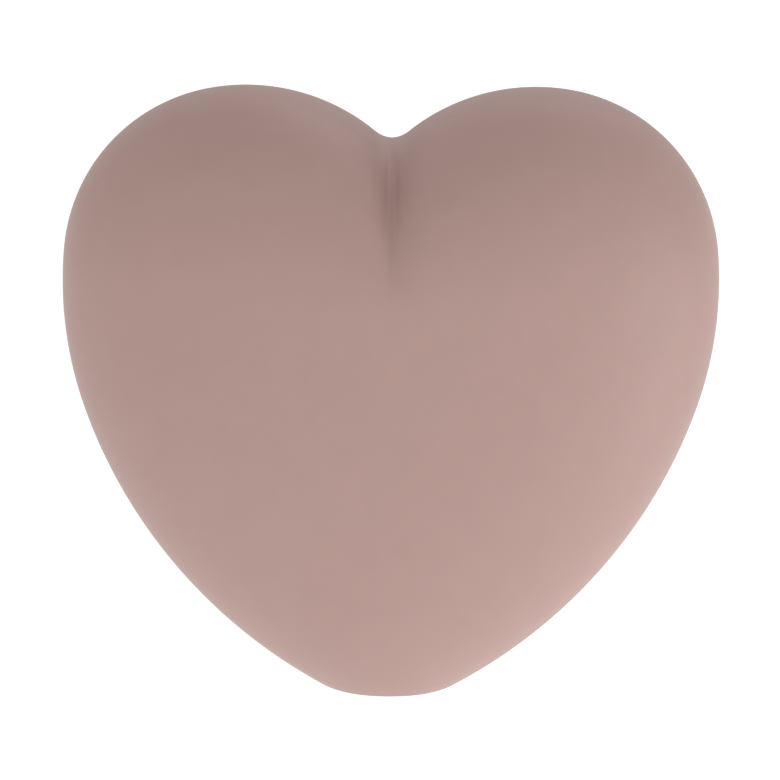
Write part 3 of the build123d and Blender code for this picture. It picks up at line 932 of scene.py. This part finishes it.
def twine_loop(y, phase):
    """One ply of a closed loop round the pad: a twist round a rectangle with rounded corners."""
    corner = TIE_DIAMETER
    rings = []
    strand = TIE_DIAMETER / 4
    wide, tall = tie_half_width - corner, tie_half_height - corner
    straight = [2 * wide, 2 * tall, 2 * wide, 2 * tall]
    bend = corner * math.pi / 2
    total = sum(straight) + 4 * bend
    for k in range(TIE_POINTS):
        left = total * k / TIE_POINTS
        side = 0
        while left > straight[side] + bend:
            left -= straight[side] + bend
            side += 1
        heading = [(1, 0), (0, 1), (-1, 0), (0, -1)][side]
        out = (heading[1], -heading[0])
        turned = max(left - straight[side], 0) / corner
        done = min(left, straight[side])
        start = [(-wide, -tall), (wide, -tall), (wide, tall), (-wide, tall)][side]
        c, s = math.cos(turned), math.sin(turned)
        away = (out[0] * c + heading[0] * s, out[1] * c + heading[1] * s)
        x = start[0] + heading[0] * done + away[0] * corner
        z = start[1] + heading[1] * done + away[1] * corner
        out_way = Vector((away[0], 0, away[1]))
        a = 2 * math.pi * TIE_TWISTS * k / TIE_POINTS + phase
        sideways = Vector((0, 1, 0))
        twist = out_way * math.cos(a) + sideways * math.sin(a)
        centre = Vector((x, y, tie_height + z)) + strand * twist
        ring = []
        for n in range(PLY_SIDES):
            t = 2 * math.pi * n / PLY_SIDES
            outwards = out_way * math.cos(t) + sideways * math.sin(t)
            ring.append(centre + strand * PLY_CROWDING * outwards)
        rings.append(ring)
    return rings, True


def knot_points(centre):
    """An overhand knot, drawn tight: a trefoil flattened on to the pad."""
    points = []
    for k in range(KNOT_POINTS):
        t = 2 * math.pi * k / KNOT_POINTS
        x = math.sin(t) + 2 * math.sin(2 * t)
        y = math.cos(t) - 2 * math.cos(2 * t)
        points.append(centre + KNOT_SIZE * Vector((x, y, -0.7 * math.sin(3 * t))))
    return points


def tie_runs():
    """Both loops with their two plies, their knots and the knots' loose ends."""
    runs = []
    for side in (-1, 1):
        y = side * TIE_OFFSET
        runs += [twine_loop(y, 0.0), twine_loop(y, math.pi)]
        knot = Vector((-side * KNOT_PLACE, y, tie_height + tie_half_height + KNOT_LIFT))
        path = knot_points(knot)
        runs.append((tube_rings(path + path[:1], KNOT_RADIUS, FINE_SIDES)[:-1], True))
        for end, bend in END_BENDS:
            points = []
            for k in range(END_STEPS + 1):
                share = k / END_STEPS
                a = bend + share * END_CURL
                way = Vector((end * math.cos(a * END_TURN), side * math.sin(a), 0))
                drop = -END_DROP * min(share * END_FALL, 1)
                points.append(knot + way * (END_LENGTH * share) + Vector((0, 0, drop)))
            radii = [KNOT_RADIUS] * END_STEPS + [END_FRAY]
            runs.append((tube_rings(points, KNOT_RADIUS, FINE_SIDES, radii), False))
    return runs


tie = add_object("cotton_tie_twine", swept_mesh("cotton_tie_twine", tie_runs()))
tie.data.materials.append(cotton_thread)
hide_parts("cotton_tie")
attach(tie, "fuel_cell")

# ---- Studio: floor, sky and lamps ----
# A white room with a pale floor well below the lantern, which hangs in the air as if it
# had just lifted off, so no shadow of it reaches the picture. A large lamp stands low on
# its right, and a smaller one hangs above and behind it.
FLOOR_DROP = 1.6
FLOOR_SIZE = 60.0
FLOOR_GLOW = 0.5
ROOM_BRIGHTNESS = 0.68
scene = bpy.context.scene
scene.view_settings.view_transform = "Standard"
floor_mesh = bpy.data.meshes.new("studio_floor")
half = FLOOR_SIZE / 2
floor_mesh.from_pydata(
    [(x, y, -FLOOR_DROP) for x, y in ((-half, -half), (half, -half), (half, half), (-half, half))],
    [], [(0, 1, 2, 3)])
floor = add_object("studio_floor", floor_mesh)
floor_acrylic, floor_shader = new_material("white_light_table_acrylic")
floor_shader.inputs["Base Color"].default_value = linear("#EFEFEF")
floor_shader.inputs["Roughness"].default_value = 0.6
floor_shader.inputs["Emission Color"].default_value = linear("#FFFFFF")
floor_shader.inputs["Emission Strength"].default_value = FLOOR_GLOW
floor_mesh.materials.append(floor_acrylic)
world = bpy.data.worlds.new("white_room")
scene.world = world
world.use_nodes = True
world.node_tree.nodes["Background"].inputs["Color"].default_value = (1, 1, 1, 1)
world.node_tree.nodes["Background"].inputs["Strength"].default_value = ROOM_BRIGHTNESS


def softbox(name, place, size, power):
    """A square lamp that faces the middle of the lantern; its power is in watts."""
    lamp = bpy.data.lights.new(name, "AREA")
    lamp.size = size
    lamp.energy = power
    holder = add_object(name, lamp)
    holder.location = place
    holder.rotation_euler = (aim - Vector(place)).to_track_quat("-Z", "Y").to_euler()


softbox("right_softbox", (3.4, -1.4, -0.4), 2.6, 29.0)
softbox("top_softbox", (1.2, 2.2, 3.4), 2.0, 8.0)
